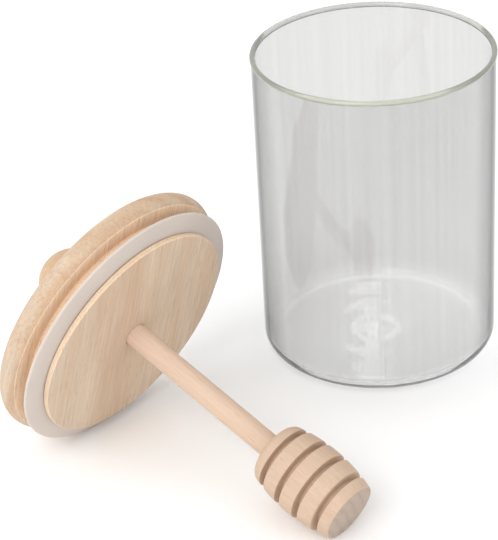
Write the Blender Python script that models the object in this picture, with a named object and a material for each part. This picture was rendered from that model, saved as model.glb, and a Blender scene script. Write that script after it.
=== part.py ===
"""A clear glass honey jar that stands open, with its turned wooden lid lying in front of it to the left.

The lid carries a knob on top, a soft seal round its plug and a honey dipper under it. It lies as it
does when it is put down on a table: on the edge of its disc and on the rim of the dipper's end.

Metres, +Z up. The origin is the middle of the jar's foot, on the table. The lid, its seal, its knob
and the dipper are turned about one axis and are modelled in the lid's own frame: its origin is the
middle of the plug's underside, +Z points to the knob and the dipper hangs down -Z.
"""

import math

import bmesh
import bpy

MM = 0.001

# The jar
JAR_RADIUS = 45.0 * MM
JAR_HEIGHT = 121.6 * MM
WALL = 1.6 * MM
FLOOR_THICKNESS = 2.4 * MM
HEEL_RADIUS = 6.0 * MM
INNER_CORNER_RADIUS = 4.4 * MM
RIM_BEAD_RADIUS = 1.0 * MM

# The lid's board: a plug that goes into the mouth, under a wider disc with a rounded edge
PLUG_RADIUS = 42.6 * MM
PLUG_HEIGHT = 9.8 * MM
PLUG_EDGE_RADIUS = 0.5 * MM
FLANGE_THICKNESS = 2.05 * MM
GROOVE_HEIGHT = 4.8 * MM
DISC_RADIUS = 50.9 * MM
DISC_UNDERSIDE_RADIUS = 49.1 * MM
DISC_THICKNESS = 7.5 * MM
NOSE_DEPTH = 6.3 * MM

# The seal: a ring that fills the plug's groove and narrows outside it to a soft lip
SEAL_INNER_RADIUS = 37.5 * MM
SEAL_LIP_RADIUS = 49.4 * MM
SEAL_HALF_HEIGHT = 2.1 * MM
SEAL_NOSE_RADIUS = 0.6 * MM

# The knob on top of the lid
KNOB_FOOT_RADIUS = 9.7 * MM
KNOB_NECK_RADIUS = 7.9 * MM
KNOB_NECK_HEIGHT = 5.6 * MM
KNOB_RADIUS = 12.2 * MM
KNOB_WIDEST_HEIGHT = 15.8 * MM
KNOB_HEIGHT = 26.9 * MM
KNOB_TOP_ANGLE = 84.0

# The dipper: a round shaft with a barrel of five rings on its end
SHAFT_RADIUS = 4.3 * MM
SOCKET_DEPTH = 9.0 * MM
DIPPER_LENGTH = 103.4 * MM
HEAD_LENGTH = 35.2 * MM
HEAD_RADIUS = 13.5 * MM
HEAD_END_RADIUS = 10.9 * MM
HEAD_SHOULDER_RADIUS = 2.5 * MM
HEAD_EDGE_RADIUS = 0.5 * MM
GROOVES = 4
GROOVE_PITCH = 8.1 * MM
LAST_GROOVE_TO_END = 5.3 * MM
GROOVE_WIDTH = 2.3 * MM
GROOVE_DEPTH = 3.4 * MM

# Pieces that are glued or pressed together keep this gap
GAP = 0.3 * MM

# Where the lid lies: the middle of its plug's underside, and the heading of the dipper
LID_X = -91.9 * MM
LID_Y = -64.6 * MM
LID_HEADING = math.radians(-43.2)

# Sides of the turned pieces. Each is even, so that a corner is at the lowest point of a lying piece.
JAR_SIDES = 72
LID_SIDES = 72
SEAL_SIDES = 64
KNOB_SIDES = 36
DIPPER_SIDES = 36
SMOOTH_ANGLE = math.radians(35)

# Straight pieces that stand for a round edge's arc
SMALL_ARC_STEPS = 2
HEEL_STEPS = 5
BEAD_STEPS = 7
NOSE_STEPS = 8
SEAL_STEPS = 6
NECK_STEPS = 4
KNOB_STEPS = 12
SHOULDER_STEPS = 4

# Points closer than this are one point
MERGE_DISTANCE = 0.001 * MM


def arc(centre, half_sizes, start, end, steps):
    """Points (radius, height) of an oval arc. Angles are in degrees, 0 outwards and 90 up."""
    points = []
    for i in range(steps + 1):
        angle = math.radians(start + (end - start) * i / steps)
        radius = centre[0] + half_sizes[0] * math.cos(angle)
        height = centre[1] + half_sizes[1] * math.sin(angle)
        points.append((radius, height))
    return points


def jar_outline():
    """From the flat foot, up the outside, over the rim and down the inside to the floor."""
    inner_radius = JAR_RADIUS - WALL
    bead_centre = (inner_radius + RIM_BEAD_RADIUS, JAR_HEIGHT - RIM_BEAD_RADIUS)
    heel_centre = (JAR_RADIUS - HEEL_RADIUS, HEEL_RADIUS)
    corner_centre = (inner_radius - INNER_CORNER_RADIUS, FLOOR_THICKNESS + INNER_CORNER_RADIUS)
    bead_start = -math.degrees(math.acos((JAR_RADIUS - bead_centre[0]) / RIM_BEAD_RADIUS))
    return [
        *arc(heel_centre, (HEEL_RADIUS, HEEL_RADIUS), -90, 0, HEEL_STEPS),
        *arc(bead_centre, (RIM_BEAD_RADIUS, RIM_BEAD_RADIUS), bead_start, 180, BEAD_STEPS),
        *arc(corner_centre, (INNER_CORNER_RADIUS, INNER_CORNER_RADIUS), 0, -90, HEEL_STEPS),
    ]


def nose_arc():
    """The disc's rounded edge, from its underside to its top: the outermost part of a wider oval."""
    centre = (DISC_RADIUS - NOSE_DEPTH, PLUG_HEIGHT + DISC_THICKNESS / 2)
    end_angle = math.acos((DISC_UNDERSIDE_RADIUS - centre[0]) / NOSE_DEPTH)
    half_height = DISC_THICKNESS / 2 / math.sin(end_angle)
    degrees = math.degrees(end_angle)
    return arc(centre, (NOSE_DEPTH, half_height), -degrees, degrees, NOSE_STEPS)


def lid_outline():
    """From the dipper's socket, round the plug and its groove, to the top of the disc."""
    socket_radius = SHAFT_RADIUS + GAP
    groove_radius = SEAL_INNER_RADIUS - GAP
    groove_top = FLANGE_THICKNESS + GROOVE_HEIGHT
    edge_centre = (PLUG_RADIUS - PLUG_EDGE_RADIUS, PLUG_EDGE_RADIUS)
    return [
        (socket_radius, SOCKET_DEPTH),
        (socket_radius, 0.0),
        *arc(edge_centre, (PLUG_EDGE_RADIUS, PLUG_EDGE_RADIUS), -90, 0, SMALL_ARC_STEPS),
        (PLUG_RADIUS, FLANGE_THICKNESS),
        (groove_radius, FLANGE_THICKNESS),
        (groove_radius, groove_top),
        (PLUG_RADIUS, groove_top),
        (PLUG_RADIUS, PLUG_HEIGHT),
        *nose_arc(),
    ]


def seal_outline():
    """The closed section of the seal: round the lip's nose, then round the root in the groove."""
    middle = FLANGE_THICKNESS + GROOVE_HEIGHT / 2
    nose_centre = (SEAL_LIP_RADIUS - SEAL_NOSE_RADIUS, middle)
    lip_slope = math.atan2(SEAL_HALF_HEIGHT - SEAL_NOSE_RADIUS, nose_centre[0] - PLUG_RADIUS)
    turn = 90 - math.degrees(lip_slope)
    upper, lower = middle + SEAL_HALF_HEIGHT, middle - SEAL_HALF_HEIGHT
    return [
        *arc(nose_centre, (SEAL_NOSE_RADIUS, SEAL_NOSE_RADIUS), -turn, turn, SEAL_STEPS),
        (PLUG_RADIUS, upper),
        (SEAL_INNER_RADIUS, upper),
        (SEAL_INNER_RADIUS, lower),
        (PLUG_RADIUS, lower),
    ]


def knob_outline():
    """From the knob's foot, in to its neck, and round its full head to the small flat on its top."""
    foot = PLUG_HEIGHT + DISC_THICKNESS + GAP
    neck_centre = (KNOB_FOOT_RADIUS, foot + KNOB_NECK_HEIGHT)
    neck_half_sizes = (KNOB_NECK_RADIUS - KNOB_FOOT_RADIUS, KNOB_NECK_HEIGHT)
    head_centre = (0.0, foot + KNOB_WIDEST_HEIGHT)
    head_half_sizes = (KNOB_RADIUS, KNOB_HEIGHT - KNOB_WIDEST_HEIGHT)
    head_start = -math.degrees(math.acos(KNOB_NECK_RADIUS / KNOB_RADIUS))
    return [
        *arc(neck_centre, neck_half_sizes, -90, 0, NECK_STEPS),
        *arc(head_centre, head_half_sizes, head_start, KNOB_TOP_ANGLE, KNOB_STEPS),
    ]


def head_radius_at(height):
    """The barrel's outer radius: a parabola, widest halfway along the head."""
    middle = -DIPPER_LENGTH + HEAD_LENGTH / 2
    share = (height - middle) / (HEAD_LENGTH / 2)
    return HEAD_RADIUS - (HEAD_RADIUS - HEAD_END_RADIUS) * share**2


def head_outline():
    """From the head's shoulder, ring by ring, to the dipper's end."""
    head_top = -DIPPER_LENGTH + HEAD_LENGTH
    shoulder_height = head_top - HEAD_SHOULDER_RADIUS
    shoulder_centre = (head_radius_at(shoulder_height) - HEAD_SHOULDER_RADIUS, shoulder_height)
    points = arc(shoulder_centre, (HEAD_SHOULDER_RADIUS, HEAD_SHOULDER_RADIUS), 90, 0, SHOULDER_STEPS)
    for i in range(GROOVES):
        middle = -DIPPER_LENGTH + LAST_GROOVE_TO_END + (GROOVES - 1 - i) * GROOVE_PITCH
        upper, lower = middle + GROOVE_WIDTH / 2, middle - GROOVE_WIDTH / 2
        half_ring = (points[-1][1] + upper) / 2
        points.append((head_radius_at(half_ring), half_ring))
        points.append((head_radius_at(upper), upper))
        points.append((head_radius_at(upper) - GROOVE_DEPTH, upper))
        points.append((head_radius_at(lower) - GROOVE_DEPTH, lower))
        points.append((head_radius_at(lower), lower))
    end_height = -DIPPER_LENGTH + HEAD_EDGE_RADIUS
    end_centre = (head_radius_at(end_height) - HEAD_EDGE_RADIUS, end_height)
    return points + arc(end_centre, (HEAD_EDGE_RADIUS, HEAD_EDGE_RADIUS), 0, -90, SMALL_ARC_STEPS)


def dipper_outline():
    """From the shaft's end in the lid's socket down to the dipper's end."""
    head_top = -DIPPER_LENGTH + HEAD_LENGTH
    return [(SHAFT_RADIUS, SOCKET_DEPTH - GAP), (SHAFT_RADIUS, head_top), *head_outline()]


def turned(name, outline, sides, material, closed=False):
    """A solid of revolution about Z. An open outline's two end loops are flat discs."""
    bm = bmesh.new()
    corners = [bm.verts.new((radius, 0.0, height)) for radius, height in outline]
    pairs = list(zip(corners, corners[1:]))
    if closed:
        pairs.append((corners[-1], corners[0]))
    edges = [bm.edges.new(pair) for pair in pairs]
    bmesh.ops.spin(
        bm,
        geom=corners + edges,
        cent=(0.0, 0.0, 0.0),
        axis=(0.0, 0.0, 1.0),
        angle=2 * math.pi,
        steps=sides,
        use_merge=True,
    )
    bmesh.ops.remove_doubles(bm, verts=bm.verts, dist=MERGE_DISTANCE)
    open_edges = [edge for edge in bm.edges if edge.is_boundary]
    if open_edges:
        bmesh.ops.holes_fill(bm, edges=open_edges, sides=0)
    bmesh.ops.recalc_face_normals(bm, faces=bm.faces)
    mesh = bpy.data.meshes.new(name)
    bm.to_mesh(mesh)
    bm.free()
    mesh.shade_smooth()
    mesh.set_sharp_from_angle(angle=SMOOTH_ANGLE)
    mesh.materials.append(material)
    piece = bpy.data.objects.new(name, mesh)
    bpy.context.scene.collection.objects.link(piece)
    return piece


def finish(name, colour, roughness, transmission=0.0, ior=1.5):
    """A Principled material."""
    material = bpy.data.materials.new(name)
    material.use_nodes = True
    shader = material.node_tree.nodes["Principled BSDF"]
    shader.inputs["Base Color"].default_value = (*colour, 1.0)
    shader.inputs["Roughness"].default_value = roughness
    shader.inputs["Metallic"].default_value = 0.0
    shader.inputs["Transmission Weight"].default_value = transmission
    shader.inputs["IOR"].default_value = ior
    return material


def resting_tilt(lid_points, dipper_points):
    """How far the axis dips towards the dipper when the lid's edge and the dipper's end both touch down.

    It is the slope of the straight line that touches the profile at the seal or the disc, whichever
    stands out further, and at the dipper's head.
    """
    slopes = []
    for end_radius, end_height in dipper_points:
        slopes.append(max(math.atan2(r - end_radius, z - end_height) for r, z in lid_points))
    return min(slopes)


def height_above_table(tilt, points):
    """How high the lid frame's origin is when the tilted profile just touches the table."""
    return max(radius * math.cos(tilt) - height * math.sin(tilt) for radius, height in points)


def clear_scene():
    for obj in list(bpy.data.objects):
        bpy.data.objects.remove(obj)


def lay_down(pieces):
    """Parents the lid's pieces to one empty, which lays them on the table beside the jar."""
    lid_points, dipper_points = nose_arc() + seal_outline(), head_outline()
    tilt = resting_tilt(lid_points, dipper_points)
    height = height_above_table(tilt, lid_points + dipper_points)
    lid_frame = bpy.data.objects.new("lid_frame", None)
    bpy.context.scene.collection.objects.link(lid_frame)
    lid_frame.location = (LID_X, LID_Y, height)
    lid_frame.rotation_euler = (0.0, tilt - math.pi / 2, LID_HEADING)
    for piece in pieces:
        piece.parent = lid_frame


def main():
    clear_scene()
    glass = finish("clear_glass", (0.93, 0.95, 0.94), 0.03, transmission=1.0, ior=1.47)
    board = finish("lid_board", (0.66, 0.49, 0.33), 0.62)
    silicone = finish("milky_silicone", (0.72, 0.67, 0.64), 0.4)
    turned_wood = finish("dipper_wood", (0.76, 0.55, 0.39), 0.6)

    turned("jar_glass", jar_outline(), JAR_SIDES, glass)
    lay_down(
        [
            turned("lid_board", lid_outline(), LID_SIDES, board),
            turned("lid_seal", seal_outline(), SEAL_SIDES, silicone, closed=True),
            turned("lid_knob", knob_outline(), KNOB_SIDES, board),
            turned("dipper", dipper_outline(), DIPPER_SIDES, turned_wood),
        ]
    )


main()
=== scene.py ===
"""The looks of a clear glass honey jar and of its turned wooden lid with the dipper under it.

It is laid out as a Blender add-on and is run as a script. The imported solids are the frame: the jar
stands at the origin, and the lid's pieces are turned about the lid's own axis, which is read from them.
Outlines are in metres, (radius, height), in the frame of the piece that they turn about. Places in the
materials are in millimetres.
"""

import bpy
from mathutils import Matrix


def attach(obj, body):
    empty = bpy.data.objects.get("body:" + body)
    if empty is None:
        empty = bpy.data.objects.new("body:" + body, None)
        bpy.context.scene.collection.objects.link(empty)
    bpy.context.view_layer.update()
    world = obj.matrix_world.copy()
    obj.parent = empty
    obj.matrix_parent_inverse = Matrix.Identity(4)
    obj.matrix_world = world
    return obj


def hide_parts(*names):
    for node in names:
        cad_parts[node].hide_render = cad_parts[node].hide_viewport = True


bl_info = {
    "name": "Honey Jar",
    "version": (1, 0, 0),
    "blender": (4, 5, 0),
    "location": "View3D > Sidebar > Honey Jar",
    "description": "A clear glass jar, its wooden lid with a seal and a knob, and the honey dipper",
    "category": "Add Mesh",
}

import math

import bmesh
import bpy
from bpy.props import FloatProperty, FloatVectorProperty, IntProperty, PointerProperty
from mathutils import Matrix, Vector

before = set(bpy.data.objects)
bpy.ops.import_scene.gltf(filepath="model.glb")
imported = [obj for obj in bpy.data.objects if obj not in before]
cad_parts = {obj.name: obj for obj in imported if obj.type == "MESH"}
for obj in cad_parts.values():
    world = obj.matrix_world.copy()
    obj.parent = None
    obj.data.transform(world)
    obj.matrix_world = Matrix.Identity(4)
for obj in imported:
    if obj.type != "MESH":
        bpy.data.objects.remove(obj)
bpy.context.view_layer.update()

BODY = "root"
MM = 0.001
MERGE_DISTANCE = 0.002 * MM
SMOOTH_ANGLE = math.radians(28)
FLOOR_GAP = 0.05 * MM
JAR_PLACE = Matrix.Identity(4)
WHITE = (1.0, 1.0, 1.0)
LENGTH = {"subtype": "DISTANCE", "unit": "LENGTH"}
ANGLE = {"subtype": "ANGLE", "unit": "ROTATION"}
COLOUR = {"subtype": "COLOR", "size": 3, "min": 0.0, "max": 1.0}

RING_SHARPNESS = 2.2  # above 1, the dark part of a growth ring is narrower than its light part
GROOVE_SQUARENESS = 6.0  # above 2, the floor of a groove is flatter than a half circle

GLASS_IOR = 1.47
SILICONE_IOR = 1.41
MIDDLE_NOISE = (0.3, 0.7)  # most noise lies between these two values

# How far the outer wall is seen from the side, 0 for straight on and 1 for edge on: where each painted
# shade starts and where it is full. The first darkens the wall at a slant, and the second draws a dark
# line beside its edges.
SLANT_RANGE = (0.5, 0.74)
EDGE_RANGE = (0.735, 0.775)

# The inputs of the dipper's tree that are lengths. DipperSizes has a property for each.
DIPPER_LENGTHS = (
    "Shaft Radius", "In Socket", "Length", "Head Length", "Head Radius", "Head End Radius",
    "Shoulder", "Edge", "Groove Pitch", "Last Groove", "Groove Width", "Groove Depth", "Groove Lip",
)
SHAFT_ROWS = 24
HEAD_ROWS = 420

# Each softbox: its place, the point it faces, its width and height in metres, and its power in watts.
MIDDLE_OF_ALL = (-0.03, -0.03, 0.05)
MIDDLE_OF_JAR = (0.0, 0.0, 0.05)
SOFTBOXES = {
    "key": ((-0.95, -1.75, 1.85), MIDDLE_OF_ALL, (1.3, 1.3), 22.0),
    "fill": ((-2.0, -0.3, 1.2), MIDDLE_OF_ALL, (1.2, 1.2), 8.0),
    "right fill": ((1.7, -1.5, 0.8), MIDDLE_OF_ALL, (1.2, 1.2), 5.0),
    "back strip": ((0.117, 1.9, 1.21), MIDDLE_OF_JAR, (0.054, 0.28), 0.17),
}
FLOOR_COLOUR = (0.98, 0.98, 0.98)


def size(name, description, value):
    """A length property whose default is given in millimetres."""
    return FloatProperty(name=name, description=description, default=value * MM, precision=5, **LENGTH)


def in_degrees(name, description, value):
    """An angle property whose default is given in degrees."""
    return FloatProperty(name=name, description=description, default=math.radians(value), **ANGLE)


def colour(name, description, value):
    return FloatVectorProperty(name=name, description=description, default=value, **COLOUR)


class JarSizes(bpy.types.PropertyGroup):
    """The glass jar."""

    radius: size("Radius", "Outside radius of the wall", 45.0)
    height: size("Height", "From the foot to the top of the rim", 121.6)
    wall: size("Wall", "Thickness of the wall", 1.6)
    floor: size("Floor", "Thickness of the floor", 2.4)
    heel_radius: size("Heel", "Radius of the rounded edge round the foot", 6.0)
    foot_hollow: size("Foot hollow", "How far the middle of the foot is pushed up", 0.5)
    foot_ring: size("Foot ring", "Radius inside which the foot is pushed up", 38.0)
    inner_corner: size("Inner corner", "Radius between the wall and the floor inside", 4.4)
    bead: size("Rim bead", "Radius of the fire-polished rim", 1.0)
    ripple_height: size("Ripple height", "Height of the floor's faint rings", 0.03)
    ripple_length: size("Ripple length", "From one faint ring to the next", 11.0)
    pip_radius: size("Pip radius", "Radius of the dimple in the floor's middle", 6.0)
    pip_depth: size("Pip depth", "Depth of that dimple", 0.04)
    sides: IntProperty(name="Sides", description="Straight pieces round the jar", default=256, min=16)


class LidSizes(bpy.types.PropertyGroup):
    """The lid's board, its seal and its knob."""

    plug_radius: size("Plug radius", "Radius of the part that goes into the mouth", 42.6)
    plug_height: size("Plug height", "From the plug's underside to the disc", 9.8)
    flange: size("Flange", "Thickness of the lip under the seal", 2.05)
    groove_height: size("Groove height", "Height of the seal's groove", 4.8)
    disc_radius: size("Disc radius", "Widest radius of the disc", 50.9)
    disc_under_radius: size("Disc underside", "Radius of the disc at its two faces", 49.1)
    disc_thickness: size("Disc thickness", "Thickness of the disc", 7.5)
    nose_depth: size("Nose", "Depth of the disc's rounded edge", 6.3)
    softness: size("Soft edges", "Radius to which edges are sanded", 0.45)
    socket_radius: size("Socket radius", "Radius of the hole for the dipper's shaft", 4.4)
    socket_depth: size("Socket depth", "Depth of that hole", 9.0)
    seal_inner_radius: size("Seal inner radius", "Radius of the seal's root in its groove", 37.5)
    seal_lip_radius: size("Seal lip radius", "Outer radius of the seal's lip", 49.4)
    seal_half_height: size("Seal half height", "Half of the height of the seal's root", 2.3)
    seal_nose: size("Seal nose", "Radius of the lip's rounded edge", 0.6)
    knob_foot: size("Knob foot", "Radius of the knob where it meets the disc", 9.7)
    knob_neck: size("Knob neck", "Radius of the knob's neck", 7.9)
    knob_neck_height: size("Knob neck height", "From the disc to the end of the neck's curve", 5.6)
    knob_radius: size("Knob radius", "Widest radius of the knob", 12.2)
    knob_widest: size("Knob middle", "From the disc to the knob's widest circle", 15.8)
    knob_height: size("Knob height", "From the disc to the knob's top", 26.9)
    gap: size("Gap", "What the solids leave between glued pieces", 0.3)
    sides: IntProperty(name="Sides", description="Straight pieces round the lid", default=224, min=16)


class DipperSizes(bpy.types.PropertyGroup):
    """The honey dipper."""

    shaft_radius: size("Shaft radius", "Radius of the round shaft", 4.3)
    in_socket: size("In the socket", "How far the shaft goes into the lid", 8.7)
    length: size("Length", "From the lid to the dipper's end", 103.4)
    head_length: size("Head length", "Length of the ringed head", 35.2)
    head_radius: size("Head radius", "Widest radius of the head", 13.5)
    head_end_radius: size("Head end radius", "Radius of the head at its two ends", 10.9)
    shoulder: size("Shoulder", "Radius of the edge towards the shaft", 2.5)
    edge: size("Edge", "Radius to which the far edge is sanded", 0.5)
    groove_pitch: size("Groove pitch", "From one groove to the next", 8.1)
    last_groove: size("Last groove", "From the last groove's middle to the end", 5.3)
    groove_width: size("Groove width", "Width of a groove", 2.3)
    groove_depth: size("Groove depth", "Depth of a groove", 3.4)
    groove_lip: size("Groove lip", "Radius to which a groove's lips are sanded", 0.3)
    grooves: IntProperty(name="Grooves", description="How many grooves the head has", default=4, min=1)
    sides: IntProperty(name="Sides", description="Straight pieces round the dipper", default=96, min=12)


class WoodLooks(bpy.types.PropertyGroup):
    """The pale hardwood."""

    board_light: colour("Board light", "Lightest wood of the board", (0.65, 0.525, 0.40))
    board_dark: colour("Board dark", "Darkest bands of the board", (0.575, 0.445, 0.33))
    board_streak: colour("Board streak", "Pinkish streaks of the board", (0.57, 0.385, 0.25))
    knob_light: colour("Knob light", "Lightest wood of the knob", (0.64, 0.45, 0.29))
    knob_dark: colour("Knob dark", "Darkest bands of the knob", (0.56, 0.38, 0.23))
    dipper_light: colour("Dipper light", "Lightest wood of the dipper", (0.605, 0.455, 0.34))
    dipper_dark: colour("Dipper dark", "Darkest bands of the dipper", (0.56, 0.41, 0.30))
    board_end: colour("Board end", "End grain of the board", (0.56, 0.39, 0.255))
    # Painted light: a lighter colour for the plug's side and the disc's underside, which lie in shade
    # beside the seal.
    board_painted_light: colour("Board painted light", "Painted light on the side of the plug", (0.93, 0.70, 0.50))
    # Partly the shaft's own lighter tone, partly painted light that lifts the shade the lid casts on
    # the shaft beside it.
    dipper_painted_light: colour("Dipper painted light", "Painted light of the shaft beside the lid", (0.72, 0.54, 0.42))
    dipper_end: colour("Dipper end", "End grain of the dipper", (0.42, 0.34, 0.285))
    pore: colour("Pore", "Open pores", (0.40, 0.20, 0.11))
    grain_angle: in_degrees(
        "Grain angle", "Direction of the board's grain, from the side that lies up", -3.0
    )


class GlassLooks(bpy.types.PropertyGroup):
    """The glass and the silicone."""

    tint: colour("Tint", "What a wall lets through at once", (0.75, 0.75, 0.747))
    # Painted light: below these heights the tint is left off, which lightens the jar's floor and foot
    # where they lie in shade.
    clear_below: size("Clear below", "Height under which the tint fades away inside", 3.0)
    clear_below_outside: size("Clear below outside", "The same on the wall's outer side", 9.0)
    # Painted shade: the outer wall is darkened where it is seen at a slant, and in a line beside its
    # edges, in place of dark surroundings seen in the glass.
    painted_slant_shade: colour("Painted slant shade", "The tint where the wall is seen at a slant", (0.09, 0.09, 0.086))
    painted_edge_line: colour(
        "Painted edge line", "The tint in the dark line beside the wall's edge", (0.004, 0.0045, 0.005)
    )
    rim_tint: colour("Rim tint", "The near side of the fire-polished rim", (0.72, 0.74, 0.63))
    rim_back_tint: colour("Rim back tint", "The rim's far side", (0.66, 0.66, 0.645))
    depth_colour: colour(
        "Depth colour", "What long ways through the glass turn to", (0.51, 0.525, 0.525)
    )
    depth_density: FloatProperty(
        name="Depth density",
        description="How fast long ways through the glass darken, per metre",
        default=3.0,
    )
    silicone: colour("Silicone", "The milky seal", (0.585, 0.52, 0.47))


class StageLooks(bpy.types.PropertyGroup):
    """The floor, the lights and the camera."""

    camera_distance: FloatProperty(
        name="Camera distance",
        description="From the camera to the point it looks at",
        default=0.7826,
        **LENGTH,
    )
    camera_pitch: in_degrees("Camera pitch", "How far the camera looks down", 29.95)
    camera_roll: in_degrees("Camera roll", "Lean that sets the jar upright in the picture", -3.38)
    aim: FloatVectorProperty(
        name="Aim",
        description="The point the camera looks at",
        default=(-0.0500, -0.01495, 0.0401),
        subtype="XYZ_LENGTH",
        unit="LENGTH",
    )
    lens: FloatProperty(
        name="Lens", description="Focal length for a 36 mm sensor, in millimetres", default=137.53
    )
    floor_size: FloatProperty(name="Floor", description="Side of the floor", default=14.0, **LENGTH)
    world_strength: FloatProperty(name="Surroundings", description="Light from all round", default=0.93)


class Builder:
    """Adds nodes to a node tree and links them, so that a rule reads as a few lines."""

    def __init__(self, tree):
        self.tree = tree

    def feed(self, node, inputs):
        """Feeds a node's inputs, by place or, in a dictionary, by name or place.

        A socket is linked to the input, and a plain value is set on the input itself.
        """
        pairs = inputs.items() if isinstance(inputs, dict) else enumerate(inputs)
        for key, value in pairs:
            if isinstance(value, bpy.types.NodeSocket):
                self.tree.links.new(value, node.inputs[key])
            else:
                node.inputs[key].default_value = value

    def node(self, kind, inputs=(), **settings):
        """A new node of this kind, with its inputs fed."""
        node = self.tree.nodes.new(kind)
        for name, value in settings.items():
            setattr(node, name, value)
        self.feed(node, inputs)
        return node

    def math(self, operation, *values):
        return self.node("ShaderNodeMath", values, operation=operation).outputs[0]

    def chain(self, operation, values):
        """One operation over all the values, from the first to the last."""
        result = values[0]
        for value in values[1:]:
            result = self.math(operation, result, value)
        return result

    def add(self, *values):
        return self.chain("ADD", values)

    def multiply(self, *values):
        return self.chain("MULTIPLY", values)

    def subtract(self, *values):
        return self.chain("SUBTRACT", values)

    def divide(self, first, second):
        return self.math("DIVIDE", first, second)

    def at_most(self, value, limit):
        return self.math("MINIMUM", value, limit)

    def above_zero(self, value):
        return self.math("MAXIMUM", value, 0.0)

    def root(self, value):
        """The square root of a value, or 0 for one below 0."""
        return self.math("SQRT", self.above_zero(value))

    def distance(self, across, along):
        """How long a way is that goes so far across and so far along."""
        return self.root(self.add(self.multiply(across, across), self.multiply(along, along)))

    def range(self, value, low, high, out_low=0.0, out_high=1.0):
        """A value carried from one range to another, held at both ends."""
        inputs = (value, low, high, out_low, out_high)
        return self.node("ShaderNodeMapRange", inputs, clamp=True).outputs[0]

    def mix(self, share, first, second):
        """One colour mixed with another."""
        inputs = {0: share, 6: as_rgba(first), 7: as_rgba(second)}
        return self.node("ShaderNodeMix", inputs, data_type="RGBA").outputs[2]

    def noise(self, vector, scale, detail=2.0, roughness=0.5, distortion=0.0):
        """Noise between 0 and 1. scale is how often it changes in a millimetre, along each axis."""
        stretched = self.node("ShaderNodeVectorMath", (vector, scale), operation="MULTIPLY")
        inputs = {"Vector": stretched.outputs[0], "Scale": 1.0, "Detail": detail}
        inputs |= {"Roughness": roughness, "Distortion": distortion}
        return self.node("ShaderNodeTexNoise", inputs).outputs["Fac"]

    def bump(self, strength, distance, height):
        """A bumpy surface. distance is what a height of 1 stands for, in millimetres."""
        inputs = {"Strength": strength, "Distance": distance * MM, "Height": height}
        return self.node("ShaderNodeBump", inputs).outputs[0]

    def parts(self, vector):
        return self.node("ShaderNodeSeparateXYZ", (vector,)).outputs


def as_rgba(value):
    """A colour as the four numbers of a colour input, or a socket as it is."""
    return value if isinstance(value, bpy.types.NodeSocket) else (*value, 1.0)


def arc(centre, half_sizes, start, end, steps):
    """Points (radius, height) of an oval arc. Angles are in degrees, 0 outwards and 90 up."""
    points = []
    for i in range(steps + 1):
        angle = math.radians(start + (end - start) * i / steps)
        points.append(
            (centre[0] + half_sizes[0] * math.cos(angle), centre[1] + half_sizes[1] * math.sin(angle))
        )
    return points


def round_arc(centre, radius, start, end, steps):
    return arc(centre, (radius, radius), start, end, steps)


def node_corners(name):
    """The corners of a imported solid, each one once."""
    return {tuple(round(x, 7) for x in v.co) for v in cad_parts[name].data.vertices}


def middle(points):
    return sum((Vector(point) for point in points), Vector((0.0, 0.0, 0.0))) / len(points)


def lid_place():
    """The lid's own frame: its origin is the middle of the plug's underside, +Z points to the knob.

    +X points to the side of the lid that lies up.
    """
    on_dipper = middle(node_corners("dipper"))
    axis = (middle(node_corners("lid_knob")) - on_dipper).normalized()
    underside = min(Vector(corner).dot(axis) for corner in node_corners("lid_board"))
    origin = on_dipper + axis * (underside - on_dipper.dot(axis))
    upper_side = (Vector((0.0, 0.0, 1.0)) - axis * axis.z).normalized()
    side = axis.cross(upper_side)
    return Matrix.Translation(origin) @ Matrix((upper_side, side, axis)).transposed().to_4x4()


def geometry_tree(name, inputs):
    """A Geometry Nodes tree with named inputs. It gives its builder and its inputs' sockets by name."""
    tree = bpy.data.node_groups.new(name, "GeometryNodeTree")
    tree.is_modifier = True
    for label, kind in inputs.items():
        tree.interface.new_socket(name=label, in_out="INPUT", socket_type=kind)
    tree.interface.new_socket(name="Geometry", in_out="OUTPUT", socket_type="NodeSocketGeometry")
    build = Builder(tree)
    return build, build.node("NodeGroupInput").outputs


def wrap(build, rows, sides, material, shape):
    """Wraps a grid round Z and ends the tree with it.

    shape(row, last_row) gives the radius and the height of the surface in a row. The rows' number and
    the sides may be sockets. Where the seam or a pole meets itself, its points are merged.
    """
    last_row = build.subtract(rows, 1.0)
    grid_inputs = {
        "Size X": last_row,
        "Size Y": sides,
        "Vertices X": rows,
        "Vertices Y": build.add(sides, 1.0),
    }
    grid = build.node("GeometryNodeMeshGrid", grid_inputs).outputs["Mesh"]
    place = build.parts(build.node("GeometryNodeInputPosition").outputs[0])
    row = build.math("ROUND", build.add(place[0], build.divide(last_row, 2.0)))
    turn = build.multiply(build.divide(place[1], sides), 2 * math.pi)
    radius, height = shape(row, last_row)
    across = build.multiply(radius, build.math("COSINE", turn))
    along = build.multiply(radius, build.math("SINE", turn))
    point = build.node("ShaderNodeCombineXYZ", (across, along, height)).outputs[0]
    steps = {
        "GeometryNodeSetPosition": {"Position": point},
        "GeometryNodeMergeByDistance": {"Distance": MERGE_DISTANCE},
        "GeometryNodeRealizeInstances": {},
        "GeometryNodeSetMaterial": {"Material": material},
    }
    surface = grid
    for kind, inputs in steps.items():
        surface = build.node(kind, {"Geometry": surface, **inputs}).outputs[0]
    build.node("NodeGroupOutput", (surface,))


def lathe_tree():
    """Turns an outline, a chain of points in the XZ plane, round Z."""
    inputs = {"Geometry": "NodeSocketGeometry", "Sides": "NodeSocketInt"}
    build, given = geometry_tree("Turned piece", inputs | {"Material": "NodeSocketMaterial"})
    domain = build.node("GeometryNodeAttributeDomainSize", {"Geometry": given["Geometry"]})
    position = build.node("GeometryNodeInputPosition").outputs[0]

    def shape(row, last_row):
        sample_inputs = {"Geometry": given["Geometry"], "Value": position, "Index": row}
        sample = build.node("GeometryNodeSampleIndex", sample_inputs, data_type="FLOAT_VECTOR")
        place = build.parts(sample.outputs[0])
        return place[0], place[2]

    wrap(build, domain.outputs["Point Count"], given["Sides"], given["Material"], shape)
    return build.tree


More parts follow.
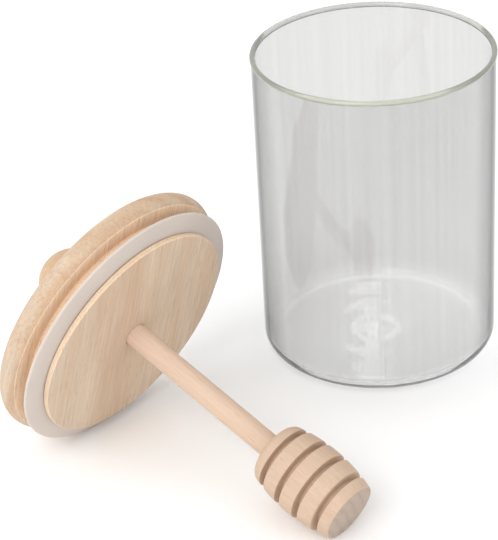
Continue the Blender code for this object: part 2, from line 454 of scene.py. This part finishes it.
def dipper_tree():
    """The dipper as one rule: a plain shaft, then a barrel with evenly spaced grooves.

    Every length is measured along the dipper from the lid, so the mesh hangs down -Z.
    """
    inputs = {label: "NodeSocketFloat" for label in DIPPER_LENGTHS}
    inputs |= {label: "NodeSocketInt" for label in ("Grooves", "Shaft Rows", "Head Rows", "Sides")}
    inputs["Material"] = "NodeSocketMaterial"
    build, given = geometry_tree("Ringed dipper", inputs)

    def quarter_round(radius, depth_inside):
        """How much a rounded edge takes off, this far inside the end of the stretch."""
        short = build.above_zero(build.subtract(radius, depth_inside))
        left = build.root(build.subtract(build.multiply(radius, radius), build.multiply(short, short)))
        return build.subtract(radius, left)

    def head_radius(along, from_end, head_start):
        half = build.divide(given["Head Length"], 2.0)
        share = build.divide(build.subtract(along, build.add(head_start, half)), half)
        crown = build.subtract(given["Head Radius"], given["Head End Radius"])
        barrel = build.subtract(given["Head Radius"], build.multiply(crown, share, share))
        shoulder = quarter_round(given["Shoulder"], build.subtract(along, head_start))
        return build.subtract(barrel, shoulder, quarter_round(given["Edge"], from_end))

    def groove_cut(from_end):
        """How deep the head is cut here by its nearest groove, with the groove's sanded lips."""
        place = build.divide(build.subtract(from_end, given["Last Groove"]), given["Groove Pitch"])
        last = build.subtract(given["Grooves"], 1.0)
        nearest = build.at_most(build.above_zero(build.math("ROUND", place)), last)
        away = build.multiply(build.subtract(place, nearest), given["Groove Pitch"])
        away = build.math("ABSOLUTE", away)
        half_width = build.divide(given["Groove Width"], 2.0)
        lip = quarter_round(given["Groove Lip"], build.above_zero(build.subtract(away, half_width)))
        past_lip = build.subtract(given["Groove Depth"], given["Groove Lip"])
        share = build.math("POWER", build.divide(away, half_width), GROOVE_SQUARENESS)
        return build.add(lip, build.multiply(past_lip, build.root(build.subtract(1.0, share))))

    def shape(row, last_row):
        """The first and the last row are the middles of the dipper's two flat ends."""
        wall_row = build.subtract(row, 1.0)
        in_shaft = build.at_most(build.above_zero(wall_row), given["Shaft Rows"])
        in_head = build.above_zero(build.subtract(wall_row, given["Shaft Rows"]))
        in_head = build.at_most(in_head, given["Head Rows"])
        head_start = build.subtract(given["Length"], given["Head Length"])
        shaft_step = build.divide(build.add(head_start, given["In Socket"]), given["Shaft Rows"])
        head_step = build.divide(given["Head Length"], given["Head Rows"])
        way = build.add(build.multiply(in_shaft, shaft_step), build.multiply(in_head, head_step))
        along = build.subtract(way, given["In Socket"])
        from_end = build.subtract(given["Length"], along)
        head = build.subtract(head_radius(along, from_end, head_start), groove_cut(from_end))
        is_head = build.math("GREATER_THAN", in_head, 0.5)
        shaft = build.multiply(build.subtract(1.0, is_head), given["Shaft Radius"])
        radius = build.add(build.multiply(is_head, head), shaft)
        before_last = build.math("LESS_THAN", row, last_row)
        is_wall = build.multiply(before_last, build.math("GREATER_THAN", row, 0.5))
        return build.multiply(radius, is_wall), build.multiply(along, -1.0)

    rows = build.add(given["Shaft Rows"], given["Head Rows"], 3.0)
    wrap(build, rows, given["Sides"], given["Material"], shape)
    return build.tree


def new_object(name, data):
    """An object with this data, put into the scene."""
    thing = bpy.data.objects.new(name, data)
    bpy.context.scene.collection.objects.link(thing)
    return thing


def outline_mesh(name, outline):
    """A chain of points in the XZ plane, from an outline."""
    mesh = bpy.data.meshes.new(name)
    points = [(radius, 0.0, height) for radius, height in outline]
    mesh.from_pydata(points, [(i, i + 1) for i in range(len(points) - 1)], [])
    return mesh


def made_by_nodes(name, start_mesh, tree, values, place, material):
    """A plain mesh object made by a Geometry Nodes tree, with its place in its mesh."""
    piece = new_object(name, start_mesh)
    modifier = piece.modifiers.new("Shape", "NODES")
    modifier.node_group = tree
    given = {**values, "Material": material}
    for item in tree.interface.items_tree:
        if item.in_out == "INPUT" and item.name in given:
            modifier[item.identifier] = given[item.name]
    evaluated = piece.evaluated_get(bpy.context.evaluated_depsgraph_get())
    mesh = bpy.data.meshes.new_from_object(evaluated)
    piece.modifiers.clear()
    mesh.name = name
    face_outwards(mesh)
    mesh.transform(place)
    mesh.shade_smooth()
    mesh.set_sharp_from_angle(angle=SMOOTH_ANGLE)
    mesh.materials.clear()
    mesh.materials.append(material)
    piece.data = mesh
    return piece


def face_outwards(mesh):
    bm = bmesh.new()
    bm.from_mesh(mesh)
    bmesh.ops.recalc_face_normals(bm, faces=bm.faces)
    bm.to_mesh(mesh)
    bm.free()


def keep(piece, node):
    """Ties a finished piece to the frame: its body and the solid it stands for."""
    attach(piece, BODY)
    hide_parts(node)


def turned_piece(name, outline, sides, place, material, node):
    """Turns an outline into a finished piece and ties it to the frame."""
    start = outline_mesh(f"{name} outline", outline)
    piece = made_by_nodes(name, start, lathe_tree(), {"Sides": sides}, place, material)
    keep(piece, node)


def new_material(name):
    """A material with one Principled shader. It gives the material, its builder and the shader."""
    material = bpy.data.materials.new(name)
    material.use_nodes = True
    build = Builder(material.node_tree)
    return material, build, material.node_tree.nodes["Principled BSDF"]


def object_place(build, place):
    """Object coordinates in millimetres, in the frame that place gives."""
    inputs = {
        "Vector": build.node("ShaderNodeTexCoord").outputs["Object"],
        "Location": place.to_translation(),
        "Rotation": place.to_euler(),
        "Scale": (MM, MM, MM),
    }
    return build.node("ShaderNodeMapping", inputs, vector_type="TEXTURE").outputs[0]


def turned_about(build, vector, axis, angle):
    """A place turned about an axis through the origin."""
    inputs = {"Vector": vector, "Axis": axis, "Angle": angle}
    return build.node("ShaderNodeVectorRotate", inputs, rotation_type="AXIS_ANGLE").outputs[0]


def from_axis(build, place):
    """How far the surface is from the axis of a frame, and its height there, in millimetres."""
    across, along, height = build.parts(object_place(build, place))
    return build.distance(across, along), height


def spread(middle_colour, share):
    """Two colours, this share darker and this share lighter than the middle one."""
    return Vector(middle_colour) * (1.0 - share), Vector(middle_colour) * (1.0 + share)


def growth_rings(build, local, look):
    """How dark a growth ring is here, 0 to 1. The rings run round a core line beside the piece."""
    wander = build.noise(local, look["wander_scale"], detail=3.0, roughness=0.45)
    along, across, down = build.parts(local)
    core_across, core_down = look["core"]
    from_core = build.distance(build.subtract(across, core_across), build.subtract(down, core_down))
    place = build.add(from_core, build.multiply(build.subtract(wander, 0.5), look["wander"]))
    wave = build.math("SINE", build.multiply(place, 2 * math.pi / look["ring_width"]))
    return build.math("POWER", build.range(wave, -1.0, 1.0), RING_SHARPNESS)


def faces_along(build, place, grain_first):
    """1 where the surface looks along the grain, which is end grain, and 0 where it lies along it."""
    normal = build.node("ShaderNodeNewGeometry").outputs["Normal"]
    inputs = {"Vector": normal, "Rotation": place.to_euler()}
    turned = build.node("ShaderNodeMapping", inputs, vector_type="TEXTURE").outputs[0]
    return build.math("ABSOLUTE", build.parts(grain_first(build, turned))[0])


def painted_light_on_plug(build, place):
    """1 on the plug's side and on the disc's underside, and 0 elsewhere. Light is painted on there: the
    wood is made lighter where it lies in shade beside the seal.
    """
    sizes = bpy.context.scene.honey_lid
    radius, height = from_axis(build, place)
    plug_side = (sizes.plug_radius - sizes.softness) / MM
    disc, flange = sizes.plug_height / MM, sizes.flange / MM
    outside = build.range(radius, plug_side, plug_side + 0.3)
    under_disc = build.range(height, disc + 0.02, disc + 0.2, 1.0, 0.0)
    off_flange = build.range(height, flange, flange + 0.2, 0.5, 1.0)
    return build.multiply(outside, under_disc, off_flange)


def painted_light_on_shaft(build, place):
    """1 on the shaft where it leaves the lid, less towards the head, and 0 on the head. Partly the
    shaft's own lighter tone, partly painted light that lifts the shade the lid casts on the shaft.
    """
    sizes = bpy.context.scene.honey_dipper
    radius, height = from_axis(build, place)
    shaft, end = sizes.shaft_radius / MM, -sizes.length / MM
    head_start = (sizes.head_length - sizes.length) / MM
    on_shaft = build.range(radius, shaft + 0.2, shaft + 1.0, 1.0, 0.0)
    near_lid = build.range(height, head_start, 0.0, 0.3, 1.0)
    return build.multiply(on_shaft, near_lid, build.range(height, end + 1.0, end + 2.0))


def far_end(build, place):
    """1 on the dipper's flat end and 0 elsewhere."""
    end = -bpy.context.scene.honey_dipper.length / MM
    return build.range(from_axis(build, place)[1], end + 1.2, end + 0.8)


def evenly(share):
    """The same share everywhere on a piece."""
    return lambda build, place: share


def board_rings(build, place):
    """The growth rings' share: the disc's wood has stronger rings than the plug's."""
    disc = bpy.context.scene.honey_lid.plug_height / MM
    return build.range(from_axis(build, place)[1], disc, disc + 0.3, 0.42, 0.95)


def wood(name, place, grain_first, painted_light_colour=WHITE, painted_light_place=evenly(0.0), end_place=evenly(1.0), **look):
    """Pale hardwood, solid all through: rings, streaks, fibres and pores run along its grain.

    grain_first turns a place in the lid's frame so that the grain runs along its X. The painted light's
    place gives where light is painted on, as a lighter colour where the wood lies in shade, and
    end_place where end grain may show.
    """
    looks = bpy.context.scene.honey_wood
    material, build, shader = new_material(name)
    local = grain_first(build, object_place(build, place))
    rings = growth_rings(build, local, look)
    end_grain = build.range(faces_along(build, place, grain_first), 0.8, 0.97)
    bands = build.noise(local, (0.006, 0.075, 0.06), detail=3.0, distortion=0.4)
    lines = build.noise(local, (0.03, 0.9, 0.9), detail=4.0, roughness=0.65, distortion=0.25)
    fibres = build.noise(local, (0.09, 2.6, 2.6), detail=3.0, roughness=0.6)
    blush = build.noise(local, (0.008, 0.1, 0.1), distortion=0.6)
    pores = build.noise(local, (0.14, 2.4, 2.4), detail=1.0)
    crowding = build.noise(local, (0.02, 0.2, 0.2), detail=1.0)

    blush_share = build.multiply(build.range(blush, 0.5, 0.7), look["blush"])
    ring_share = build.multiply(rings, look["rings"](build, place))
    end_share = build.multiply(end_grain, end_place(build, place), look["end_share"])
    end_tone = build.mix(rings, Vector(look["end_grain"]) * 1.03, Vector(look["end_grain"]) * 0.91)
    base = build.mix(build.range(bands, 0.34, 0.66), look["light"], look["dark"])
    base = build.mix(blush_share, base, looks.board_streak)
    base = build.mix(ring_share, base, looks.board_streak)
    base = build.mix(end_share, base, end_tone)
    # Painted light: a lighter colour where the piece lies in shade.
    base = build.mix(painted_light_place(build, place), base, painted_light_colour)

    line_tone = build.range(lines, *MIDDLE_NOISE, 1.0 + look["lines"], 1.0 - look["lines"])
    fibre_tone = build.range(fibres, 0.25, 0.75, 1.0 - look["fibres"], 1.0 + look["fibres"])
    tone = {0: base, "Scale": build.multiply(line_tone, fibre_tone)}
    toned = build.node("ShaderNodeVectorMath", tone, operation="SCALE").outputs[0]
    pore_edge = build.range(crowding, *MIDDLE_NOISE, look["pore_edge"] + 0.04, look["pore_edge"] - 0.03)
    pore = build.range(build.subtract(pores, pore_edge), 0.0, 0.05)
    pore = build.multiply(pore, look["pore_share"])

    roughness = look["roughness"]
    relief = build.subtract(build.multiply(fibres, 0.35), pore)
    finish = {
        "Base Color": build.mix(pore, toned, looks.pore),
        "Roughness": build.range(lines, *MIDDLE_NOISE, roughness - 0.05, roughness + 0.07),
        "Specular IOR Level": 0.25,
        "Normal": build.bump(0.2, 0.1, relief),
    }
    build.feed(shader, finish)
    return material


def board_grain(build, local):
    """The board's and the knob's grain lies across the lid, at an angle from the side that lies up."""
    return turned_about(build, local, (0.0, 0.0, 1.0), -bpy.context.scene.honey_wood.grain_angle)


def upright_grain(build, local):
    """The dipper's grain runs along the lid's axis."""
    return turned_about(build, local, (0.0, 1.0, 0.0), math.pi / 2)


def board_wood(place):
    looks = bpy.context.scene.honey_wood
    return wood(
        "lid board wood",
        place,
        board_grain,
        light=looks.board_light,
        dark=looks.board_dark,
        end_grain=looks.board_end,
        end_share=0.7,
        # Painted light on the plug's side and under the disc, where they lie in shade beside the seal.
        painted_light_colour=looks.board_painted_light,
        painted_light_place=painted_light_on_plug,
        core=(-25.0, -70.0),
        ring_width=9.0,
        wander_scale=(0.006, 0.03, 0.03),
        wander=26.0,
        rings=board_rings,
        blush=0.45,
        lines=0.1,
        fibres=0.08,
        pore_edge=0.64,
        pore_share=0.4,
        roughness=0.62,
    )


def knob_wood(place):
    looks = bpy.context.scene.honey_wood
    return wood(
        "knob wood",
        place,
        board_grain,
        light=looks.knob_light,
        dark=looks.knob_dark,
        end_grain=looks.knob_dark,
        end_share=0.3,
        core=(30.0, -40.0),
        ring_width=4.0,
        wander_scale=(0.01, 0.05, 0.05),
        wander=8.0,
        rings=evenly(0.3),
        blush=0.3,
        lines=0.05,
        fibres=0.04,
        pore_edge=0.66,
        pore_share=0.5,
        roughness=0.58,
    )


def dipper_wood(place):
    looks = bpy.context.scene.honey_wood
    return wood(
        "dipper wood",
        place,
        upright_grain,
        light=looks.dipper_light,
        dark=looks.dipper_dark,
        end_grain=looks.dipper_end,
        end_share=0.85,
        end_place=far_end,
        # Painted light on the shaft beside the lid, along with the shaft's own lighter tone.
        painted_light_colour=looks.dipper_painted_light,
        painted_light_place=painted_light_on_shaft,
        core=(-45.0, 28.0),
        ring_width=4.2,
        wander_scale=(0.01, 0.06, 0.06),
        wander=5.0,
        rings=evenly(0.22),
        blush=0.12,
        lines=0.04,
        fibres=0.07,
        pore_edge=0.68,
        pore_share=0.35,
        roughness=0.6,
    )


def silicone():
    """Milky and soft: light goes a few millimetres into it."""
    material, build, shader = new_material("milky silicone")
    local = object_place(build, JAR_PLACE)
    cloud = build.range(build.noise(local, (0.05, 0.05, 0.05)), *MIDDLE_NOISE)
    dust = build.noise(local, (1.2, 1.2, 1.2), detail=3.0)
    finish = {
        "Base Color": build.mix(cloud, *spread(bpy.context.scene.honey_glass.silicone, 0.02)),
        "Roughness": build.range(dust, *MIDDLE_NOISE, 0.38, 0.48),
        "IOR": SILICONE_IOR,
        "Subsurface Weight": 0.6,
        "Subsurface Radius": (1.0, 0.9, 0.85),
        "Subsurface Scale": 2.0 * MM,
    }
    build.feed(shader, finish)
    return material


def clear_glass():
    """Clear glass with a faint grey tint, and with long faint waves along its drawn wall.

    The tint is left off near the floor and the foot. This is painted light that lifts the shade there.
    The outer wall is darker where it is seen at a slant, with a dark line beside each edge: painted
    shade that stands in for dark surroundings seen in the glass. Lamps shine through the glass, so that
    what it stands on isn't in a hard shadow.
    """
    looks = bpy.context.scene.honey_glass
    sizes = bpy.context.scene.honey_jar
    material, build, shader = new_material("clear glass")
    local = object_place(build, JAR_PLACE)
    radius, height = from_axis(build, JAR_PLACE)
    heel_top = sizes.heel_radius / MM
    in_wall = [(sizes.radius - sizes.wall * share) / MM for share in (0.7, 0.3)]
    outside = build.range(radius, *in_wall)
    # Painted light: the tint fades out near the floor, which lifts the shade on the jar's floor and
    # foot.
    clear_top = build.range(outside, 0.0, 1.0, looks.clear_below / MM, looks.clear_below_outside / MM)
    above_floor = build.range(height, sizes.floor / MM + 0.1, clear_top)
    outer_wall = build.multiply(outside, build.range(height, heel_top * 0.6, heel_top * 1.5))
    slant = build.node("ShaderNodeLayerWeight", {"Blend": 0.5}).outputs["Facing"]
    # Painted shade: darker where the outer wall is seen at a slant, and a dark line beside each edge.
    at_slant = build.multiply(outer_wall, build.range(slant, *SLANT_RANGE))
    at_edge = build.multiply(outer_wall, build.range(slant, *EDGE_RANGE))
    streaks = build.range(build.noise(local, (0.45, 0.45, 0.003), detail=3.0), *MIDDLE_NOISE)
    tint = build.mix(above_floor, WHITE, build.mix(streaks, *spread(looks.tint, 0.03)))
    tint = build.mix(at_edge, build.mix(at_slant, tint, looks.painted_slant_shade), looks.painted_edge_line)
    drawn = build.noise(local, (0.2, 0.2, 0.004))
    waves = build.multiply(drawn, build.range(height, heel_top, heel_top * 3))
    finish = {
        "Base Color": tint,
        "Roughness": 0.0,
        "IOR": GLASS_IOR,
        "Transmission Weight": 0.94,
        "Normal": build.bump(0.12, 0.4, waves),
    }
    build.feed(shader, finish)

    lamp_light = build.node("ShaderNodeLightPath").outputs["Is Shadow Ray"]
    passing = build.node("ShaderNodeBsdfTransparent").outputs[0]
    surface = build.node("ShaderNodeMixShader", (lamp_light, shader.outputs[0], passing)).outputs[0]
    depth = {"Color": as_rgba(looks.depth_colour), "Density": looks.depth_density}
    volume = build.node("ShaderNodeVolumeAbsorption", depth).outputs[0]
    output = material.node_tree.nodes["Material Output"]
    build.feed(output, {"Surface": surface, "Volume": volume})
    return material


def rim_glass():
    """The rim, melted round in a flame: milkier than the wall, and yellow-green on its near side."""
    looks = bpy.context.scene.honey_glass
    material, build, shader = new_material("rim glass")
    behind = build.range(build.parts(object_place(build, JAR_PLACE))[1], -5.0, 35.0)
    finish = {
        "Base Color": build.mix(behind, looks.rim_tint, looks.rim_back_tint),
        "Roughness": 0.08,
        "IOR": GLASS_IOR,
        "Transmission Weight": 0.68,
    }
    build.feed(shader, finish)
    return material


def floor_ripple(sizes, radius):
    """The height of the pressed floor's faint rings and of its middle dimple, over the plain floor."""
    flat_radius = sizes.radius - sizes.wall - sizes.inner_corner
    fade = 1.0 - (radius / flat_radius) ** 4
    rings = sizes.ripple_height * math.cos(2 * math.pi * radius / sizes.ripple_length) * fade
    dimple = sizes.pip_depth * math.exp(-((radius / sizes.pip_radius) ** 2))
    return rings - dimple


def hollow_foot(sizes):
    """From the middle of the foot, which is pushed up a little, to the ring that the jar stands on."""
    steps = 16
    shares = [i / steps for i in range(steps + 1)]
    return [(share * sizes.foot_ring, sizes.foot_hollow * (1 - share**2) ** 2) for share in shares]


def jar_outline(sizes):
    """From the middle of the foot, up the outside to the rim, down the inside and across the floor."""
    inner_radius = sizes.radius - sizes.wall
    heel_centre = (sizes.radius - sizes.heel_radius, sizes.heel_radius)
    corner_centre = (inner_radius - sizes.inner_corner, sizes.floor + sizes.inner_corner)
    in_bead = 1.6 * sizes.bead
    wall_bottom, wall_top = heel_centre[1], sizes.height - in_bead
    wall_steps = 12
    heights = [wall_bottom + (wall_top - wall_bottom) * i / wall_steps for i in range(1, wall_steps)]
    floor_steps = 96
    floor_radii = [corner_centre[0] * (1 - i / floor_steps) for i in range(1, floor_steps + 1)]
    return [
        *hollow_foot(sizes),
        *round_arc(heel_centre, sizes.heel_radius, -90, 0, steps=14),
        *[(sizes.radius, height) for height in heights],
        (sizes.radius, wall_top),
        (inner_radius, wall_top),
        *[(inner_radius, height) for height in reversed(heights[1:])],
        *round_arc(corner_centre, sizes.inner_corner, 0, -90, steps=14),
        *[(radius, sizes.floor + floor_ripple(sizes, radius)) for radius in floor_radii],
    ]


def rim_outline(sizes):
    """The rounded rim on the wall: from its top down round its outside and back up to its top."""
    centre = (sizes.radius - sizes.wall + sizes.bead, sizes.height - sizes.bead)
    return round_arc(centre, sizes.bead, 90, -270, steps=48)


def board_outline(sizes):
    """From the socket, out over the plug's underside, round the groove and the disc, to its top."""
    soft = sizes.softness
    groove_floor = sizes.seal_inner_radius - sizes.gap
    groove_top = sizes.flange + sizes.groove_height
    edge_radius = sizes.plug_radius - soft
    lip_centre = (sizes.socket_radius + soft / 2, soft / 2)
    disc_middle = sizes.plug_height + sizes.disc_thickness / 2
    disc_top = sizes.plug_height + sizes.disc_thickness
    nose_centre = (sizes.disc_radius - sizes.nose_depth, disc_middle)
    nose_end = math.acos((sizes.disc_under_radius - nose_centre[0]) / sizes.nose_depth)
    nose_half_sizes = (sizes.nose_depth, sizes.disc_thickness / 2 / math.sin(nose_end))
    turn = math.degrees(nose_end)
    return [
        (0.0, sizes.socket_depth),
        (sizes.socket_radius, sizes.socket_depth),
        *round_arc(lip_centre, soft / 2, 180, 270, steps=4),
        *round_arc((edge_radius, soft), soft, -90, 0, steps=6),
        *round_arc((edge_radius, sizes.flange - soft), soft, 0, 90, steps=6),
        (groove_floor, sizes.flange),
        (groove_floor, groove_top),
        *round_arc((edge_radius, groove_top + soft), soft, -90, 0, steps=6),
        (sizes.plug_radius, sizes.plug_height),
        *arc(nose_centre, nose_half_sizes, -turn, turn, steps=40),
        (sizes.disc_under_radius * 0.5, disc_top),
        (0.0, disc_top),
    ]


def seal_outline(sizes):
    """The seal's section: from its root, out under the lip, round its nose and back to its root."""
    middle_height = sizes.flange + sizes.groove_height / 2
    nose_centre = (sizes.seal_lip_radius - sizes.seal_nose, middle_height)
    lip_rise, lip_reach = sizes.seal_half_height - sizes.seal_nose, nose_centre[0] - sizes.plug_radius
    turn = 90 - math.degrees(math.atan2(lip_rise, lip_reach))
    upper, lower = middle_height + sizes.seal_half_height, middle_height - sizes.seal_half_height
    return [
        (sizes.seal_inner_radius, middle_height),
        (sizes.seal_inner_radius, lower),
        (sizes.plug_radius - sizes.softness, lower),
        *round_arc(nose_centre, sizes.seal_nose, -turn, turn, steps=12),
        (sizes.plug_radius - sizes.softness, upper),
        (sizes.seal_inner_radius, upper),
        (sizes.seal_inner_radius, middle_height),
    ]


def knob_outline(sizes):
    """From the middle of the knob's foot, in to its neck, and round its head to its top."""
    disc_top = sizes.plug_height + sizes.disc_thickness
    foot = disc_top + sizes.gap
    neck_centre = (sizes.knob_foot, foot + sizes.knob_neck_height)
    neck_half_sizes = (sizes.knob_neck - sizes.knob_foot, sizes.knob_neck_height)
    head_centre = (0.0, foot + sizes.knob_widest)
    head_half_sizes = (sizes.knob_radius, sizes.knob_height - sizes.knob_widest)
    head_start = -math.degrees(math.acos(sizes.knob_neck / sizes.knob_radius))
    return [
        (0.0, disc_top),
        (sizes.knob_foot, disc_top),
        *arc(neck_centre, neck_half_sizes, -90, 0, steps=16),
        *arc(head_centre, head_half_sizes, head_start, 90, steps=48),
    ]


class HONEYJAR_OT_jar(bpy.types.Operator):
    """Makes the clear glass jar with the faint rings in its pressed floor, and its rounded rim"""

    bl_idname = "honeyjar.jar"
    bl_label = "Glass Jar"

    def execute(self, context):
        sizes = context.scene.honey_jar
        jar, rim = jar_outline(sizes), rim_outline(sizes)
        turned_piece("glass_jar", jar, sizes.sides, JAR_PLACE, clear_glass(), "jar_glass")
        turned_piece("fired_rim", rim, sizes.sides, JAR_PLACE, rim_glass(), "jar_glass")
        return {"FINISHED"}


class HONEYJAR_OT_board(bpy.types.Operator):
    """Makes the lid's turned board: the plug with its groove, and the disc with its rounded edge"""

    bl_idname = "honeyjar.board"
    bl_label = "Lid Board"

    def execute(self, context):
        sizes = context.scene.honey_lid
        place = lid_place()
        outline = board_outline(sizes)
        wood_finish = board_wood(place)
        turned_piece("turned_board", outline, sizes.sides, place, wood_finish, "lid_board")
        return {"FINISHED"}


class HONEYJAR_OT_seal(bpy.types.Operator):
    """Makes the soft seal in the plug's groove"""

    bl_idname = "honeyjar.seal"
    bl_label = "Soft Seal"

    def execute(self, context):
        sizes = context.scene.honey_lid
        outline = seal_outline(sizes)
        turned_piece("soft_seal", outline, sizes.sides, lid_place(), silicone(), "lid_seal")
        return {"FINISHED"}


class HONEYJAR_OT_knob(bpy.types.Operator):
    """Makes the turned knob on top of the lid"""

    bl_idname = "honeyjar.knob"
    bl_label = "Knob"

    def execute(self, context):
        sizes = context.scene.honey_lid
        place = lid_place()
        outline = knob_outline(sizes)
        sides = sizes.sides // 2
        turned_piece("turned_knob", outline, sides, place, knob_wood(place), "lid_knob")
        return {"FINISHED"}


class HONEYJAR_OT_dipper(bpy.types.Operator):
    """Makes the honey dipper: a round shaft and a barrel with grooves"""

    bl_idname = "honeyjar.dipper"
    bl_label = "Dipper"

    def execute(self, context):
        sizes = context.scene.honey_dipper
        place = lid_place()
        material = dipper_wood(place)
        labels = (*DIPPER_LENGTHS, "Grooves", "Sides")
        values = {label: getattr(sizes, label.lower().replace(" ", "_")) for label in labels}
        values |= {"Shaft Rows": SHAFT_ROWS, "Head Rows": HEAD_ROWS}
        start = bpy.data.meshes.new("dipper start")
        dipper = made_by_nodes("honey_dipper", start, dipper_tree(), values, place, material)
        keep(dipper, "dipper")
        return {"FINISHED"}


def soft_light(name, place, aim, size, power):
    """A rectangular softbox that points at aim. size is its width and height."""
    data = bpy.data.lights.new(name, "AREA")
    data.shape = "RECTANGLE"
    data.size, data.size_y = size
    data.energy = power
    light = new_object(name, data)
    light.location = place
    light.rotation_euler = (Vector(aim) - Vector(place)).to_track_quat("-Z", "Y").to_euler()


def pale_floor(looks):
    """A large plain floor under everything."""
    bm = bmesh.new()
    bmesh.ops.create_grid(bm, x_segments=1, y_segments=1, size=looks.floor_size / 2)
    mesh = bpy.data.meshes.new("floor")
    bm.to_mesh(mesh)
    bm.free()
    material, build, shader = new_material("pale floor")
    finish = {"Base Color": as_rgba(FLOOR_COLOUR), "Roughness": 0.9, "Specular IOR Level": 0.1}
    build.feed(shader, finish)
    mesh.materials.append(material)
    floor = new_object("floor", mesh)
    floor.location.z = -FLOOR_GAP


def white_surroundings(looks):
    """Even white light from all round."""
    world = bpy.data.worlds.new("studio")
    world.use_nodes = True
    light = {"Color": as_rgba(WHITE), "Strength": looks.world_strength}
    Builder(world.node_tree).feed(world.node_tree.nodes["Background"], light)
    bpy.context.scene.world = world


def aimed_camera(looks):
    """The camera, which looks at its aim from the front and from above."""
    data = bpy.data.cameras.new("camera")
    data.lens = looks.lens
    camera = new_object("camera", data)
    pitch = looks.camera_pitch
    away = Vector((0.0, -math.cos(pitch), math.sin(pitch))) * looks.camera_distance
    turn = Matrix.Rotation(math.pi / 2 - pitch, 4, "X") @ Matrix.Rotation(looks.camera_roll, 4, "Z")
    camera.matrix_world = Matrix.Translation(Vector(looks.aim) + away) @ turn
    bpy.context.scene.camera = camera


class HONEYJAR_OT_stage(bpy.types.Operator):
    """Makes the pale floor, the soft lights and the camera"""

    bl_idname = "honeyjar.stage"
    bl_label = "Stage"

    def execute(self, context):
        looks = context.scene.honey_stage
        pale_floor(looks)
        for name, settings in SOFTBOXES.items():
            soft_light(name, *settings)
        white_surroundings(looks)
        aimed_camera(looks)
        context.scene.view_settings.view_transform = "Standard"
        return {"FINISHED"}


OPERATORS = (
    HONEYJAR_OT_stage,
    HONEYJAR_OT_jar,
    HONEYJAR_OT_board,
    HONEYJAR_OT_seal,
    HONEYJAR_OT_knob,
    HONEYJAR_OT_dipper,
)


class HONEYJAR_PT_panel(bpy.types.Panel):
    """Lists what makes the honey jar"""

    bl_idname = "HONEYJAR_PT_panel"
    bl_label = "Honey Jar"
    bl_space_type = "VIEW_3D"
    bl_region_type = "UI"
    bl_category = "Honey Jar"

    def draw(self, context):
        for operator in OPERATORS:
            self.layout.operator(operator.bl_idname)


SETTINGS = {
    "honey_jar": JarSizes,
    "honey_lid": LidSizes,
    "honey_dipper": DipperSizes,
    "honey_wood": WoodLooks,
    "honey_glass": GlassLooks,
    "honey_stage": StageLooks,
}


def register():
    for name, group in SETTINGS.items():
        bpy.utils.register_class(group)
        setattr(bpy.types.Scene, name, PointerProperty(type=group))
    for operator in OPERATORS:
        bpy.utils.register_class(operator)
    bpy.utils.register_class(HONEYJAR_PT_panel)


def unregister():
    bpy.utils.unregister_class(HONEYJAR_PT_panel)
    for operator in OPERATORS:
        bpy.utils.unregister_class(operator)
    for name, group in SETTINGS.items():
        delattr(bpy.types.Scene, name)
        bpy.utils.unregister_class(group)


def main():
    register()
    bpy.ops.honeyjar.stage()
    bpy.ops.honeyjar.jar()
    bpy.ops.honeyjar.board()
    bpy.ops.honeyjar.seal()
    bpy.ops.honeyjar.knob()
    bpy.ops.honeyjar.dipper()


if __name__ == "__main__":
    main()
